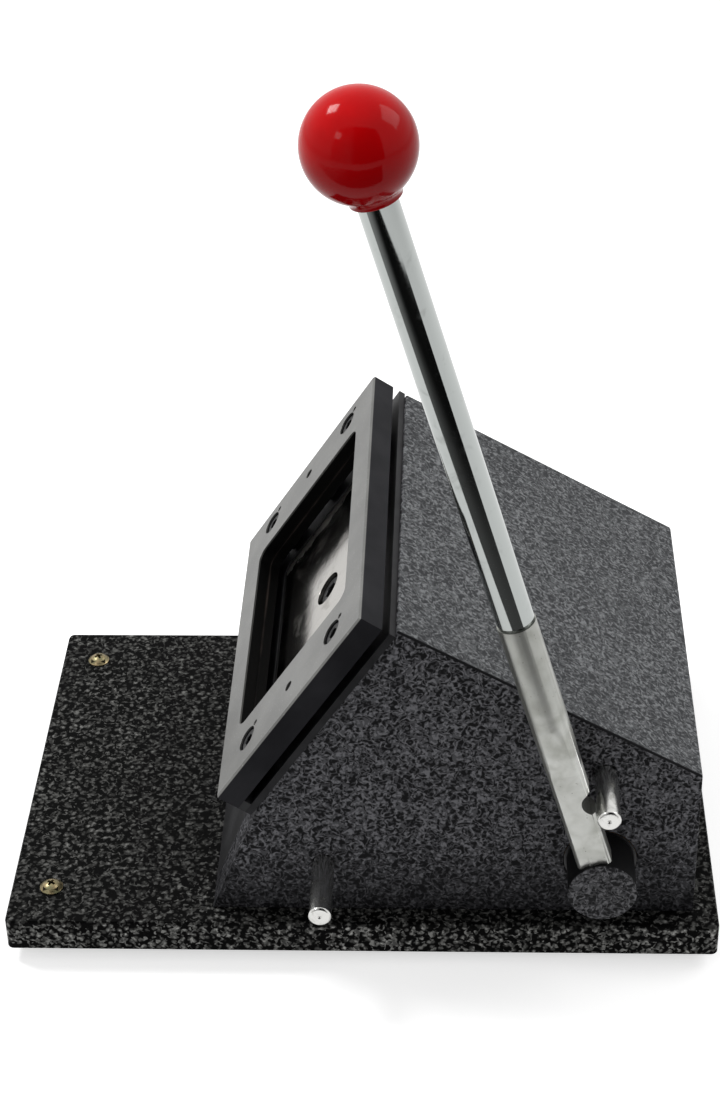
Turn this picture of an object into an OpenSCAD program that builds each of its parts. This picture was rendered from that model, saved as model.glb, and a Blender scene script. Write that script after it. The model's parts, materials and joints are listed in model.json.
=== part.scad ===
// Hand-lever card cutter: a punch behind a sloping die blanks cards from sheet.
// Millimetres. The origin is on the surface it stands on, under the middle of the
// base plate. The die faces -X and up, the lever is on the -Y side.

/* [Base plate] */
// Length of the base plate, front to back
base_l = 200; // [196:1:260]
// Width of the base plate, side to side
base_w = 138; // [134:1:180]
// Thickness of the base plate
base_t = 10; // [8:0.5:16]
// Radius of the base plate's upright corners
base_corner_r = 4; // [2:0.5:12]
// Chamfer round the base plate's top edge
base_edge = 0.8; // [0.3:0.1:2]

/* [Feet] */
// Centre of each foot in from the plate's front or back edge
foot_inset_x = 11.5; // [10:0.5:16]
// Centre of each front foot in from the plate's side edge
foot_inset_y = 14.5; // [10:0.5:20]
// Centre of each rear foot in from the housing's side, on average
rear_foot_in = 6.5; // [5:0.5:7.5]
// Diameter of a rubber foot
foot_d = 15; // [13:0.5:18]
// Height of a rubber foot
foot_h = 4.5; // [4:0.1:8]
// Chamfer round a foot's lower edge
foot_edge = 0.6; // [0.2:0.1:1]
// Thread diameter of a foot screw
foot_screw_d = 4; // [3:0.5:5]
// Length of a rear foot screw, which also holds the housing
foot_screw_l = 22; // [18:1:26]
// Foot nuts and rear foot screws above the surface that the cutter stands on
foot_recess = 1; // [0.6:0.1:1.2]
// Diameter of a foot screw's pan head
foot_head_d = 6.6; // [6.2:0.1:9]
// Height of a foot screw's pan head
foot_head_h = 2; // [1.5:0.1:3]
// Width across the flats of a foot nut
foot_nut_af = 7; // [6.5:0.1:9]
// Thickness of a foot nut
foot_nut_t = 2.2; // [1.8:0.1:2.6]

/* [Housing] */
// Housing beyond the ends of the card's opening, on average
house_side = 18.2; // [17:0.1:19]
// Base plate beyond the housing's rear
rear_margin = 7; // [4:0.5:12]
// How far the housing stands off centre, towards the lever
house_shift = 1.5; // [0:0.1:3]
// Thickness of a side wall
wall_t = 12; // [11:0.5:14]
// Thickness of the roof, the rear plate and the front apron
skin_t = 6; // [4:0.5:7]
// Thickness of the plate that guides the punch
guide_t = 10; // [8:0.5:12]
// Length of the housing along the base plate
house_l = 134.6; // [131:0.2:141]
// Height of the housing's rear edge over the base plate
rear_h = 48.6; // [46:0.2:56]
// Diameter of a screw from the base plate into a wall
base_screw_d = 5; // [4:0.5:6]
// Length of a screw from the base plate into a wall
base_screw_l = 22; // [18:1:26]
// Front base screws ahead of the housing's rear
base_screw_front = 120; // [117:1:123]
// Rear base screws ahead of the housing's rear
base_screw_rear = 53; // [47:1:73]

/* [Die face] */
// Slope of the die's face from level
face_slope = 56.2; // [54:0.2:59]
// Middle of the opening ahead of the housing's rear
face_in = 111.3; // [108:0.1:115]
// Height of the opening's middle over the base plate
face_h = 71.6; // [70:0.2:76]
// Long side of the card
card_l = 85.6; // [80:0.2:88]
// Short side of the card
card_w = 54; // [50:0.2:55]
// Radius of the card's corners
card_r = 3.2; // [2.5:0.1:5]
// Margin of the die above and below the opening
die_rim = 9.1; // [8.5:0.1:11]
// How far the die stands proud of each side wall
die_proud = 1.7; // [0.5:0.1:2.2]
// Thickness of the die
die_t = 7; // [6:0.1:9]
// Depth of the cutting land behind the die's relief
die_land = 3; // [2:0.1:4]
// Relief of the opening in front of the land, each side
die_relief = 0.4; // [0.2:0.1:1]
// Chamfer on the edges of the die's face
die_edge = 0.5; // [0.2:0.1:1]
// Slot for the sheet between the bed plate and the die
sheet_gap = 2.2; // [1.4:0.1:3]
// Thickness of the bed plate under the sheet
bed_t = 2; // [1.5:0.1:3]
// Height of the strip that closes the slot's lower end
stop_w = 3.2; // [2:0.1:5]
// Housing's lower front corner below the card's lower edge
foot_rim = 3.5; // [2.5:0.1:6]
// Housing's top edge above the card's upper edge
head_rim = 10; // [9:0.1:13]

/* [Die fasteners] */
// Die screws up and down from the opening's middle
die_screw_u = 21.5; // [14:0.5:24]
// Die screws outside the ends of the card's opening
die_screw_out = 10.9; // [9.8:0.1:11.7]
// Thread diameter of a die screw
die_screw_d = 4; // [3:0.5:5]
// Diameter of a die screw's head
die_head_d = 7; // [5.5:0.1:7.4]
// Depth that a die screw's head is sunk to its seat
die_sink = 4.6; // [4.1:0.1:5]
// Length of a die screw under its head
die_screw_l = 18; // [14:1:20]
// Diameter of the dowels halfway along the die's sides
dowel_d = 3; // [2:0.1:4]
// Length of those dowels
dowel_l = 18; // [14:1:20]
// Diameter of the small hole beside each die screw
lock_hole_d = 1.8; // [1:0.1:2.2]
// Outer diameter of the spacer round each die screw
spacer_d = 8; // [6.5:0.1:9]

/* [Lever shaft] */
// Shaft ahead of the housing's rear
shaft_in = 26.5; // [25:0.1:29]
// Height of the shaft over the base plate
shaft_h = 19; // [18:0.1:21]
// Diameter of the shaft
shaft_d = 16; // [12:0.5:17]
// Diameter of the hub at the shaft's lever end
hub_d = 18.6; // [17.5:0.1:24]
// Length of the hub outside the wall
hub_l = 13.7; // [13:0.1:16]
// Wall of a shaft bush
bush_wall = 2; // [1.5:0.1:3]
// Thickness of a shaft bush's flange
bush_flange_t = 1.5; // [1:0.1:2.5]
// How far a bush's flange stands out beyond the bush
bush_flange_w = 2.5; // [1.5:0.1:3.5]
// Shaft beyond the far wall
shaft_tail = 4.5; // [4:0.1:8]
// Thickness of the retaining ring
clip_t = 1.2; // [0.8:0.1:1.6]
// Depth of the retaining ring's groove
clip_groove = 0.6; // [0.4:0.1:0.9]
// Breadth of the retaining ring
clip_w = 3; // [2:0.1:4]

/* [Lever] */
// Lean of the lever from upright, at rest
lever_lean = 15.9; // [10:0.1:20]
// Shaft to the middle of the knob
lever_l = 226; // [200:1:260]
// Middle of the lever outside the near wall
lever_out = 8.8; // [8.4:0.1:9.6]
// Breadth of the arm's flat-sided foot
arm_w = 9.4; // [8:0.1:10]
// Thickness of the arm's flat-sided foot
arm_t = 7.4; // [6:0.1:8.5]
// Diameter of the arm's round upper part
arm_d = 10.4; // [10:0.1:11]
// Shaft to the top of the arm's flats
flat_end = 57; // [48:0.5:60]
// Shaft to the joint between arm and rod
joint_r = 90; // [86:0.5:110]
// Diameter of the arm's stub inside the hub
stub_d = 8; // [6:0.1:8.4]
// Diameter of the chromed rod
rod_d = 10; // [8:0.1:10]
// Diameter of the threaded ends of the rod
rod_thread_d = 6; // [5:0.1:7]
// Length of the threaded ends of the rod
rod_thread_l = 14; // [10:1:16]
// Diameter of the knob
knob_d = 27.4; // [24:0.1:34]
// Diameter of the knob's neck
knob_neck_d = 15; // [13:0.1:18]
// How far the neck reaches below the ball
knob_neck_l = 1.6; // [1:0.1:4]
// Diameter of the pin that locks the arm in the hub
lock_pin_d = 3; // [2:0.1:3.5]
// Shaft's centre to that pin
lock_pin_r = 5.6; // [5:0.1:6]

/* [Stop pins] */
// Diameter of both stop pins
stop_d = 6.3; // [5:0.1:7]
// Chamfer on a stop pin's end
stop_edge = 0.4; // [0.2:0.1:0.8]
// Front stop pin ahead of the shaft
front_stop_x = 76.5; // [72:0.1:80]
// Height of the front stop pin over the base plate
front_stop_h = 16.6; // [14:0.1:20]
// Front stop pin beyond the wall
front_stop_out = 21.9; // [18:0.1:24]
// Shaft to the rear stop pin
rear_stop_r = 30; // [27:0.1:33]
// Swing of the lever from rest back to the rear stop
back_travel = 6.7; // [4:0.1:9]
// Rear stop pin beyond the wall
rear_stop_out = 19.7; // [16:0.1:24]
// Centre of the arm's seat for the rear pin, outside the arm
seat_out = 0.6; // [0.3:0.1:1.5]

/* [Cam and ram] */
// Ram travel for the lever's whole forward swing
stroke = 5.2; // [4:0.1:6]
// Shaft's centre to the cam's face at rest
cam_r = 14; // [13.8:0.1:15]
// Radius of the cam's round back
cam_back_r = 13; // [12:0.1:13.2]
// Width of the cam
cam_w = 20; // [16:0.5:26]
// Width and height of the cam's key
key_w = 5; // [4:0.1:6]
// Depth of the key in the shaft
key_sink = 2.8; // [2.5:0.1:3.2]
// Diameter of the screw that holds the cam along the shaft
cam_screw_d = 4; // [3:0.5:5]
// Diameter of the wear pad's flange
pad_d = 30; // [27:0.5:34]
// Thickness of the wear pad's flange
pad_t = 5; // [4:0.1:7]
// Diameter of the ram's plunger
plunger_d = 20; // [16:0.5:22]
// Diameter of the spigots at the plunger's ends
spigot_d = 12; // [8:0.5:14]
// Length of the spigot in the punch holder
spigot_l = 4; // [3:0.5:5]
// Thickness of the punch holder
holder_t = 12; // [11:0.5:14]
// Punch holder in from the punch's edges
holder_in = 3; // [2:0.1:5]
// Height of the punch
punch_h = 20; // [18:0.5:24]
// Punch's face behind the bed plate's face, at rest
punch_sink = 0.4; // [0.1:0.1:0.8]
// Chamfer inside the cross plate's bush
bush_edge = 0.5; // [0.2:0.1:1]
// Diameter of the screw through the punch
punch_screw_d = 6; // [5:0.5:8]
// Diameter of that screw's head
punch_head_d = 10; // [8.5:0.1:13]
// Depth that the screw's head is sunk to its seat
punch_head_sink = 7; // [6.4:0.1:9]
// Dowels of the punch in from the ends of the card
punch_dowel_in = 12.8; // [9:0.1:20]
// Diameter of the punch's dowels
punch_dowel_d = 5; // [3:0.5:6]
// Length of the punch's dowels
punch_dowel_l = 14; // [10:1:16]
// Thickness of the cross plate behind the punch
cross_t = 10; // [8:0.5:14]
// Height of the cross plate along the face
cross_h = 44; // [38:0.5:46]
// Shaft to the rear of the cross plate
cross_s = 38; // [37:0.5:42]
// Wall of the plunger's bush
ram_bush_wall = 3; // [2:0.5:4]
// Length of the plunger's bush ahead of the cross plate
ram_bush_out = 5; // [3:0.5:8]
// Wire of the return spring
spring_wire = 2; // [1.4:0.1:2.2]
// Turns of the return spring
spring_turns = 5; // [4:1:5]

/* [Fits] */
// Radial clearance of a running fit
run_gap = 0.04; // [0.02:0.01:0.08]
// Clearance between parts that are fixed together
seat_gap = 0.02; // [0.01:0.01:0.05]
// Clearance of the punch in the die, each side
cut_gap = 0.04; // [0.02:0.01:0.08]
// Clearance between a screw and the hole that it passes
hole_gap = 0.25; // [0.2:0.05:0.5]
// Clearance where moving faces pass each other
face_gap = 0.3; // [0.2:0.05:0.5]
// Clearance of the cam from the wear pad
cam_gap = 0.02; // [0.01:0.01:0.05]
// Clearance of the rear stop pin in the arm's seat
pin_gap = 0.4; // [0.3:0.05:0.8]

/* [Hidden] */
$fn = 64;

// Overshoot of a cutting shape past the face that it cuts
over = 1;

// The housing's ends, the opening and the shaft, from the plate's middle
house_rear = base_l / 2 - rear_margin;
house_front = house_rear - house_l;
face_x = house_rear - face_in;
shaft_x = house_rear - shaft_in;

// Levels and side faces
house_w = card_l + 2 * house_side;
plate_z = foot_h;
top_z = foot_h + base_t;
near_y = -house_w / 2 - house_shift;
far_y = house_w / 2 - house_shift;
near_in_y = near_y + wall_t;
far_in_y = far_y - wall_t;

// Depths below the die's face, measured square to it
bed_w = -(die_t + sheet_gap);
front_w = bed_w - bed_t;
punch_w = bed_w - punch_sink;
holder_w = punch_w - punch_h;
plunger_w = holder_w - holder_t;

// The shaft's place in the die face's own axes: along the slope and square to it
shaft_dx = shaft_x - face_x;
shaft_dh = shaft_h - face_h;
ram_u = shaft_dx * cos(face_slope) + shaft_dh * sin(face_slope);
shaft_w = -shaft_dx * sin(face_slope) + shaft_dh * cos(face_slope);
pad_face = cam_r + cam_gap;
plunger_end = plunger_w - shaft_w;
tail_s = pad_face + pad_t;

// Corners of the side walls: back from the plate's middle, and up from the plate
function face_point(u, w) = [
    face_x + u * cos(face_slope) - w * sin(face_slope),
    face_h + u * sin(face_slope) + w * cos(face_slope)
];
front_foot = [house_front, 0];
front_knee = face_point(-card_w / 2 - foot_rim, front_w);
apex = face_point(card_w / 2 + head_rim, front_w);
rear_top = [house_rear, rear_h];
rear_foot = [house_rear, 0];

// The die and the punch
die_h = card_w + 2 * die_rim;
die_screw_v = card_l / 2 + die_screw_out;
die_l = house_w + 2 * die_proud;
opening_l = card_l + 2 * die_relief;
opening_w = card_w + 2 * die_relief;
opening_r = card_r + die_relief;
punch_l = card_l - 2 * cut_gap;
punch_wd = card_w - 2 * cut_gap;
punch_r = card_r - cut_gap;
punch_dowel_v = card_l / 2 - punch_dowel_in;
punch_screw_l = punch_h - punch_head_sink + holder_t - spigot_l - over;
lock_hole_shift = (die_head_d + lock_hole_d) / 2 + hole_gap;
lock_hole_angle = 35;

// The lever: its plane, the hub and the stops
lever_y = near_y - lever_out;
hub_y = near_y - face_gap - hub_l;
clip_y = far_y + face_gap;
seat_e = arm_w / 2 + seat_out;
seat_z = sqrt(rear_stop_r * rear_stop_r - seat_e * seat_e);
rear_stop_angle = back_travel + asin(seat_e / rear_stop_r);

// The lever stops on the front pin at this height over level
front_stop_dh = front_stop_h - shaft_h;
front_stop_r = norm([front_stop_x, front_stop_dh]);
front_stop_angle = asin((arm_d + stop_d) / 2 / front_stop_r) + atan2(front_stop_dh, front_stop_x);
swing = 90 - lever_lean - front_stop_angle;

// The cam's rise for each degree, and the stretch of its profile that is used
cam_rise = stroke / swing;
cam_from = -back_travel - 4;
cam_to = swing + 8;
echo(swing = swing, rise_mm_per_rad = cam_rise * 180 / PI, ram_u = ram_u, shaft_w = shaft_w);

// ---- Places ----

// On the base plate's top
module on_plate() {
    translate([0, 0, top_z]) children();
}

// Origin at the opening's middle on the die's face: x up the slope, z out of it
module on_face() {
    translate([face_x, 0, top_z + face_h]) rotate([0, -face_slope, 0]) children();
}

// Origin on the shaft: z along the ram towards the punch
module on_ram() {
    on_face() translate([ram_u, 0, shaft_w]) children();
}

// Origin on the shaft in the lever's plane: z along the lever, x to its rear
module on_lever() {
    translate([shaft_x, lever_y, top_z + shaft_h]) rotate([0, -lever_lean, 0]) children();
}

// A flat outline, back and up, drawn out between two side faces
module between(y0, y1) {
    translate([0, y1, top_z]) rotate([90, 0, 0]) linear_extrude(y1 - y0) children();
}

// A round bar along Y between two side faces
module bar(d, y0, y1) {
    translate([0, y1, 0]) rotate([90, 0, 0]) cylinder(d = d, h = y1 - y0);
}

// Along the shaft's axis
module on_shaft() {
    translate([shaft_x, 0, top_z + shaft_h]) children();
}

// The pair of feet at the plate's front corners, where end is -1, or under the walls, where it is 1
module at_feet(end) {
    side = end < 0 ? base_w / 2 - foot_inset_y : house_w / 2 - rear_foot_in;
    for (y = [-1, 1]) translate([end * (base_l / 2 - foot_inset_x), y * side, 0]) children();
}

module at_base_screws() {
    for (x = [base_screw_front, base_screw_rear], y = [near_y + wall_t / 2, far_y - wall_t / 2])
        translate([house_rear - x, y, 0]) children();
}

module at_die_screws() {
    for (u = [-1, 1], v = [-1, 1]) translate([u * die_screw_u, v * die_screw_v, 0]) children();
}

module at_die_dowels() {
    for (v = [-1, 1]) translate([0, v * die_screw_v, 0]) children();
}

// ---- Shapes ----

// A rectangle with round corners
module rounded(l, w, r) {
    square([l - 2 * r, w], center = true);
    square([l, w - 2 * r], center = true);
    for (x = [-1, 1], y = [-1, 1]) translate([x * (l / 2 - r), y * (w / 2 - r)]) circle(r);
}

// A card-shaped block, its short side up the slope
module card_block(l, w, r, h) {
    linear_extrude(h) rotate(90) rounded(l, w, r);
}

// A disc or bar with a chamfer on its upper edge
module topped(d, h, edge) {
    rotate_extrude() polygon([[0, 0], [d / 2, 0], [d / 2, h - edge], [d / 2 - edge, h], [0, h]]);
}

// A socket-head screw: its head's seat is at zero, the shank points down
module socket_screw(d, head_d, l) {
    socket = 0.87 * d;
    difference() {
        topped(head_d, d, d / 10);
        translate([0, 0, d * 0.45]) cylinder(d = socket, h = d, $fn = 6);
    }
    translate([0, 0, -l]) cylinder(d = d, h = l);
}

// ---- Housing outline ----

module wall_outline() {
    polygon([front_foot, front_knee, apex, rear_top, rear_foot]);
}

// A strip of the outline inside the edge from a to b, from a little before a to past b
module edge_strip(a, b, t, before) {
    run = norm(b - a);
    intersection() {
        wall_outline();
        translate(a) rotate(atan2(b[1] - a[1], b[0] - a[0])) translate([-before, -t])
            square([before + 2 * run, t + over]);
    }
}

module roof_strip() {
    edge_strip(apex, rear_top, skin_t, base_l);
}

module guide_strip() {
    edge_strip(front_knee, apex, guide_t, 0);
}

// ---- Base ----

module base_plate() {
    color("#26272a")
    difference() {
        translate([0, 0, plate_z]) bevelled_plate();
        for (end = [-1, 1]) at_feet(end) cylinder(d = foot_screw_d + 2 * hole_gap, h = top_z + over);
        at_base_screws() translate([0, 0, plate_z]) {
            translate([0, 0, -over]) cylinder(d = base_screw_d + 2 * hole_gap, h = base_t + 2 * over);
            base_screw_cone(hole_gap);
        }
    }
}

// Two crossing slabs and four corner posts, all with the same bevelled top edge
module bevelled_plate() {
    l = base_l - 2 * base_corner_r;
    w = base_w - 2 * base_corner_r;
    for (x = [-1, 1], y = [-1, 1])
        translate([x * l / 2, y * w / 2, 0]) topped(2 * base_corner_r, base_t, base_edge);
    bevelled_slab(l, base_w);
    rotate(90) bevelled_slab(w, base_l);
}

module bevelled_slab(l, w) {
    side = base_t - base_edge;
    translate([l / 2, 0, 0]) rotate([90, 0, -90]) linear_extrude(l) polygon([
        [-w / 2, 0], [w / 2, 0], [w / 2, side], [w / 2 - base_edge, base_t],
        [base_edge - w / 2, base_t], [-w / 2, side]
    ]);
}

module base_screw_cone(gap) {
    cylinder(d1 = 2 * base_screw_d + 2 * gap, d2 = base_screw_d + 2 * gap, h = base_screw_d / 2);
}

module feet() {
    color("#151515")
    for (end = [-1, 1]) at_feet(end) difference() {
        translate([0, 0, foot_h]) mirror([0, 0, 1]) topped(foot_d, foot_h, foot_edge);
        translate([0, 0, -over]) cylinder(d = foot_screw_d + 2 * seat_gap, h = foot_h + 2 * over);
        translate([0, 0, -over]) cylinder(d = foot_nut_af / cos(30) + hole_gap, h = foot_recess + foot_nut_t + over);
    }
}

// The front feet's screws end level with the underside of their nuts
module foot_screws() {
    color("#c9a24a")
    at_feet(-1) {
        translate([0, 0, foot_recess]) cylinder(d = foot_screw_d, h = top_z - foot_recess);
        translate([0, 0, top_z]) pan_head();
    }
}

// The rear feet's screws come from below and are tapped into the side walls
module rear_foot_screws() {
    color("#c9a24a")
    at_feet(1) {
        translate([0, 0, foot_recess + foot_nut_t]) {
            cylinder(d = foot_screw_d, h = foot_screw_l);
            mirror([0, 0, 1]) pan_head();
        }
    }
}

// A pan head with a cross recess
module pan_head() {
    dome = foot_head_h / 2;
    difference() {
        union() {
            cylinder(d = foot_head_d, h = foot_head_h - dome);
            translate([0, 0, foot_head_h - dome]) cylinder(d1 = foot_head_d, d2 = foot_head_d - 2 * dome, h = dome);
        }
        for (a = [0, 90]) rotate(a) translate([0, 0, foot_head_h])
            cube([foot_head_d / 2, foot_head_d / 7, foot_head_h], center = true);
    }
}

module foot_nuts() {
    color("#b9bcc0")
    at_feet(-1) translate([0, 0, foot_recess]) difference() {
        cylinder(d = foot_nut_af / cos(30), h = foot_nut_t, $fn = 6);
        translate([0, 0, -over]) cylinder(d = foot_screw_d + 2 * seat_gap, h = foot_nut_t + 2 * over);
    }
}

module base_screws() {
    color("#3a3b3e")
    at_base_screws() translate([0, 0, plate_z]) difference() {
        union() {
            base_screw_cone(0);
            cylinder(d = base_screw_d, h = base_screw_l);
        }
        translate([0, 0, -over]) cylinder(d = base_screw_d * 0.6, h = base_screw_d * 0.5 + over, $fn = 6);
    }
}

// ---- Housing ----

// What both walls share: the outline, the bush's seat and the tapped holes
module side_wall(y0, y1) {
    difference() {
        between(y0, y1) wall_outline();
        on_shaft() bar(shaft_d + 2 * (bush_wall + seat_gap), y0 - over, y1 + over);
        at_base_screws() cylinder(d = base_screw_d + 2 * seat_gap, h = plate_z + base_screw_l + over);
        at_feet(1) cylinder(d = foot_screw_d + 2 * seat_gap, h = plate_z + foot_screw_l);
        on_face() {
            at_die_screws() translate([0, 0, -die_sink - die_screw_l - over])
                cylinder(d = die_screw_d + 2 * seat_gap, h = die_screw_l + die_sink);
            at_die_dowels() translate([0, 0, -dowel_l - over])
                cylinder(d = dowel_d + 2 * seat_gap, h = dowel_l + over);
        }
    }
}

module near_wall() {
    color("#2b2c2f")
    difference() {
        side_wall(near_y, near_in_y);
        front_stop_place() bar(stop_d + 2 * seat_gap, near_y - over, near_in_y + over);
        rear_stop_place() bar(stop_d + 2 * seat_gap, near_y - over, near_in_y + over);
    }
}

module far_wall() {
    color("#2b2c2f") side_wall(far_in_y, far_y);
}

module roof_plate() {
    color("#3a3b3e") between(near_in_y, far_in_y) roof_strip();
}

module rear_plate() {
    color("#2b2c2f")
    between(near_in_y, far_in_y) difference() {
        edge_strip(rear_top, rear_foot, skin_t, base_l);
        roof_strip();
    }
}

module front_apron() {
    color("#232427")
    between(near_in_y, far_in_y) difference() {
        edge_strip(front_foot, front_knee, skin_t, base_l);
        above_knee();
    }
}

// Closes the sloping front behind the bed plate and guides the punch
module guide_plate() {
    color("#55585c")
    difference() {
        between(near_in_y, far_in_y) difference() {
            guide_strip();
            roof_strip();
        }
        on_face() translate([0, 0, front_w - guide_t - over])
            card_block(punch_l + 2 * run_gap, punch_wd + 2 * run_gap, punch_r + run_gap, guide_t + 2 * over);
    }
}

// All that is over the guide plate's lower edge
module above_knee() {
    translate(front_knee) rotate(face_slope) translate([0, -base_l / 2]) square(base_l);
}

module front_stop_place() {
    translate([shaft_x - front_stop_x, 0, top_z + front_stop_h]) children();
}

module rear_stop_place() {
    translate([shaft_x, 0, top_z + shaft_h]) rotate([0, rear_stop_angle - lever_lean, 0])
        translate([0, 0, rear_stop_r]) children();
}

module stop_pin(out) {
    translate([0, near_in_y, 0]) rotate([90, 0, 0]) topped(stop_d, wall_t + out, stop_edge);
}

module front_stop_pin() {
    color("#c4c6c8") front_stop_place() stop_pin(front_stop_out);
}

module rear_stop_pin() {
    color("#c4c6c8") rear_stop_place() stop_pin(rear_stop_out);
}

// ---- Die face ----

// A plate as large as the die, square to the face, from depth w up
module face_plate(w, t) {
    translate([-die_h / 2, -die_l / 2 - house_shift, w]) cube([die_h, die_l, t]);
}

module bed_plate() {
    color("#85888b")
    on_face() difference() {
        face_plate(front_w, bed_t);
        translate([0, 0, front_w - over])
            card_block(punch_l + 2 * hole_gap, punch_wd + 2 * hole_gap, punch_r + hole_gap, bed_t + 2 * over);
        at_die_screws() translate([0, 0, front_w - over]) cylinder(d = die_screw_d + 2 * hole_gap, h = bed_t + 2 * over);
        at_die_dowels() translate([0, 0, front_w - over]) cylinder(d = dowel_d + 2 * seat_gap, h = bed_t + 2 * over);
    }
}

module sheet_stop() {
    color("#1d1d1f")
    on_face() translate([-die_h / 2, -die_l / 2 - house_shift, bed_w]) cube([stop_w, die_l, sheet_gap]);
}

module screw_spacers() {
    color("#6f7276")
    on_face() {
        at_die_screws() translate([0, 0, bed_w]) ring(spacer_d, die_screw_d + 2 * hole_gap, sheet_gap);
        at_die_dowels() translate([0, 0, bed_w]) ring(spacer_d, dowel_d + 2 * seat_gap, sheet_gap);
    }
}

module ring(outer_d, inner_d, h) {
    difference() {
        cylinder(d = outer_d, h = h);
        translate([0, 0, -over]) cylinder(d = inner_d, h = h + 2 * over);
    }
}

// The four edges of the die's face, as long bars that cut them at 45 degrees
module face_edges() {
    for (s = [-1, 1]) {
        translate([s * die_h / 2, -house_shift, 0]) rotate([0, 45, 0])
            cube([die_edge * sqrt(2), die_l + 2 * over, die_edge * sqrt(2)], center = true);
        translate([0, s * die_l / 2 - house_shift, 0]) rotate([45, 0, 0])
            cube([die_h + 2 * over, die_edge * sqrt(2), die_edge * sqrt(2)], center = true);
    }
}

module die_block() {
    color("#a9adb0")
    on_face() difference() {
        face_plate(-die_t, die_t);
        face_edges();
        translate([0, 0, -die_t - over]) card_block(card_l, card_w, card_r, die_t + 2 * over);
        translate([0, 0, die_land - die_t]) card_block(opening_l, opening_w, opening_r, die_t + over);
        at_die_screws() {
            translate([0, 0, -die_t - over]) cylinder(d = die_screw_d + 2 * hole_gap, h = die_t + 2 * over);
            translate([0, 0, -die_sink]) cylinder(d = die_head_d + 2 * hole_gap, h = die_sink + over);
            rotate(lock_hole_angle) translate([lock_hole_shift + hole_gap, 0, -die_land])
                cylinder(d = lock_hole_d, h = die_land + over);
        }
        at_die_dowels() translate([0, 0, -die_t - over]) cylinder(d = dowel_d + 2 * seat_gap, h = die_t + 2 * over);
    }
}

module die_screws() {
    color("#1f2022")
    on_face() at_die_screws() translate([0, 0, -die_sink]) socket_screw(die_screw_d, die_head_d, die_screw_l);
}

module die_dowels() {
    color("#8e9194")
    on_face() at_die_dowels() translate([0, 0, -dowel_l]) topped(dowel_d, dowel_l - die_edge, die_edge / 2);
}

// ---- Shaft and lever ----

module shaft_bush(y_out, y_in) {
    side = sign(y_in - y_out);
    color("#a67c45")
    on_shaft() difference() {
        union() {
            bar(shaft_d + 2 * bush_wall, min(y_out, y_in), max(y_out, y_in));
            bar(shaft_d + 2 * (bush_wall + bush_flange_w), min(y_in, y_in + side * bush_flange_t),
                max(y_in, y_in + side * bush_flange_t));
        }
        bar(shaft_d + 2 * run_gap, min(y_out, y_in) - 4 * over, max(y_out, y_in) + 4 * over);
    }
}

module near_shaft_bush() {
    shaft_bush(near_y, near_in_y);
}

module far_shaft_bush() {
    shaft_bush(far_y, far_in_y);
}

module cam_shaft() {
    color("#34353a")
    difference() {
        on_shaft() {
            bar(hub_d, hub_y, near_y - face_gap);
            bar(shaft_d, near_y - face_gap - over, far_y + shaft_tail);
        }
        on_shaft() difference() {
            bar(shaft_d + over, clip_y, clip_y + clip_t + 2 * seat_gap);
            bar(shaft_d - 2 * clip_groove, clip_y - over, clip_y + clip_t + over);
        }
        on_lever() translate([0, 0, -stub_d / 2 - seat_gap]) cylinder(d = stub_d + 2 * seat_gap, h = hub_d);
        lock_pin_place() bar(lock_pin_d + 2 * seat_gap, hub_y - over, near_y);
        key_place() cube([key_w + 2 * seat_gap, cam_w - 2 * over + 2 * seat_gap, 2 * key_sink], center = true);
    }
}

// The key's seat is on the shaft's rear side, away from the wear pad
module key_place() {
    on_ram() translate([0, 0, -shaft_d / 2]) children();
}

module cam_key() {
    color("#9a9da1")
    key_place() translate([0, 0, key_sink - seat_gap - key_w / 2])
        cube([key_w, cam_w - 2 * over, key_w], center = true);
}

// The cam's reach at an angle, and the point where it touches a flat at that angle
function cam_reach(a) = cam_r + cam_rise * a;
function cam_point(a) =
    let (lift = cam_rise * 180 / PI)
    [cam_reach(a) * sin(a) + lift * cos(a), cam_reach(a) * cos(a) - lift * sin(a)];

// The cam's outline: its rise, then its round back, which starts just past the rise
cam_step = 2;
back_step = 6;
back_from = cam_to + 24;
cam_outline = concat(
    [for (a = [cam_from:cam_step:cam_to]) cam_point(a)],
    [for (b = [back_from:back_step:360]) cam_back_r * [sin(b), cos(b)]]
);

// The rise is the same for every degree, so the ram moves evenly with the lever
module cam() {
    color("#7d8084")
    on_ram() difference() {
        translate([0, cam_w / 2, 0]) rotate([90, 0, 0]) linear_extrude(cam_w) polygon(cam_outline);
        bar(shaft_d + 2 * seat_gap, -cam_w, cam_w);
        translate([0, 0, -shaft_d / 2 + key_sink - key_w / 2])
            cube([key_w + 2 * seat_gap, cam_w + over, key_w + 2 * seat_gap], center = true);
        cam_screw_place() cylinder(d = cam_screw_d + 2 * seat_gap, h = cam_r);
    }
}

// The screw bears on the shaft square to the key
module cam_screw_place() {
    translate([-shaft_d / 2 - seat_gap, 0, 0]) rotate([0, -90, 0]) children();
}

module cam_screw() {
    color("#1f2022")
    on_ram() cam_screw_place() difference() {
        cylinder(d = cam_screw_d, h = cam_back_r - shaft_d / 2 - seat_gap - over / 2);
        translate([0, 0, over]) cylinder(d = cam_screw_d / 2, h = cam_r, $fn = 6);
    }
}

module shaft_clip() {
    color("#8e9194")
    on_shaft() difference() {
        bar(shaft_d - 2 * clip_groove + 2 * clip_w, clip_y + seat_gap, clip_y + seat_gap + clip_t);
        bar(shaft_d - 2 * clip_groove + 2 * seat_gap, clip_y - over, clip_y + 2 * clip_t);
        translate([0, clip_y, shaft_d / 2]) cube([shaft_d / 3, 4 * clip_t, shaft_d], center = true);
    }
}

module lock_pin_place() {
    on_shaft() rotate([0, -lever_lean, 0]) translate([0, 0, lock_pin_r]) children();
}

module lever_lock_pin() {
    color("#c4c6c8")
    lock_pin_place() bar(lock_pin_d, hub_y, lever_y + stub_d / 2 - seat_gap);
}

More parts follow.
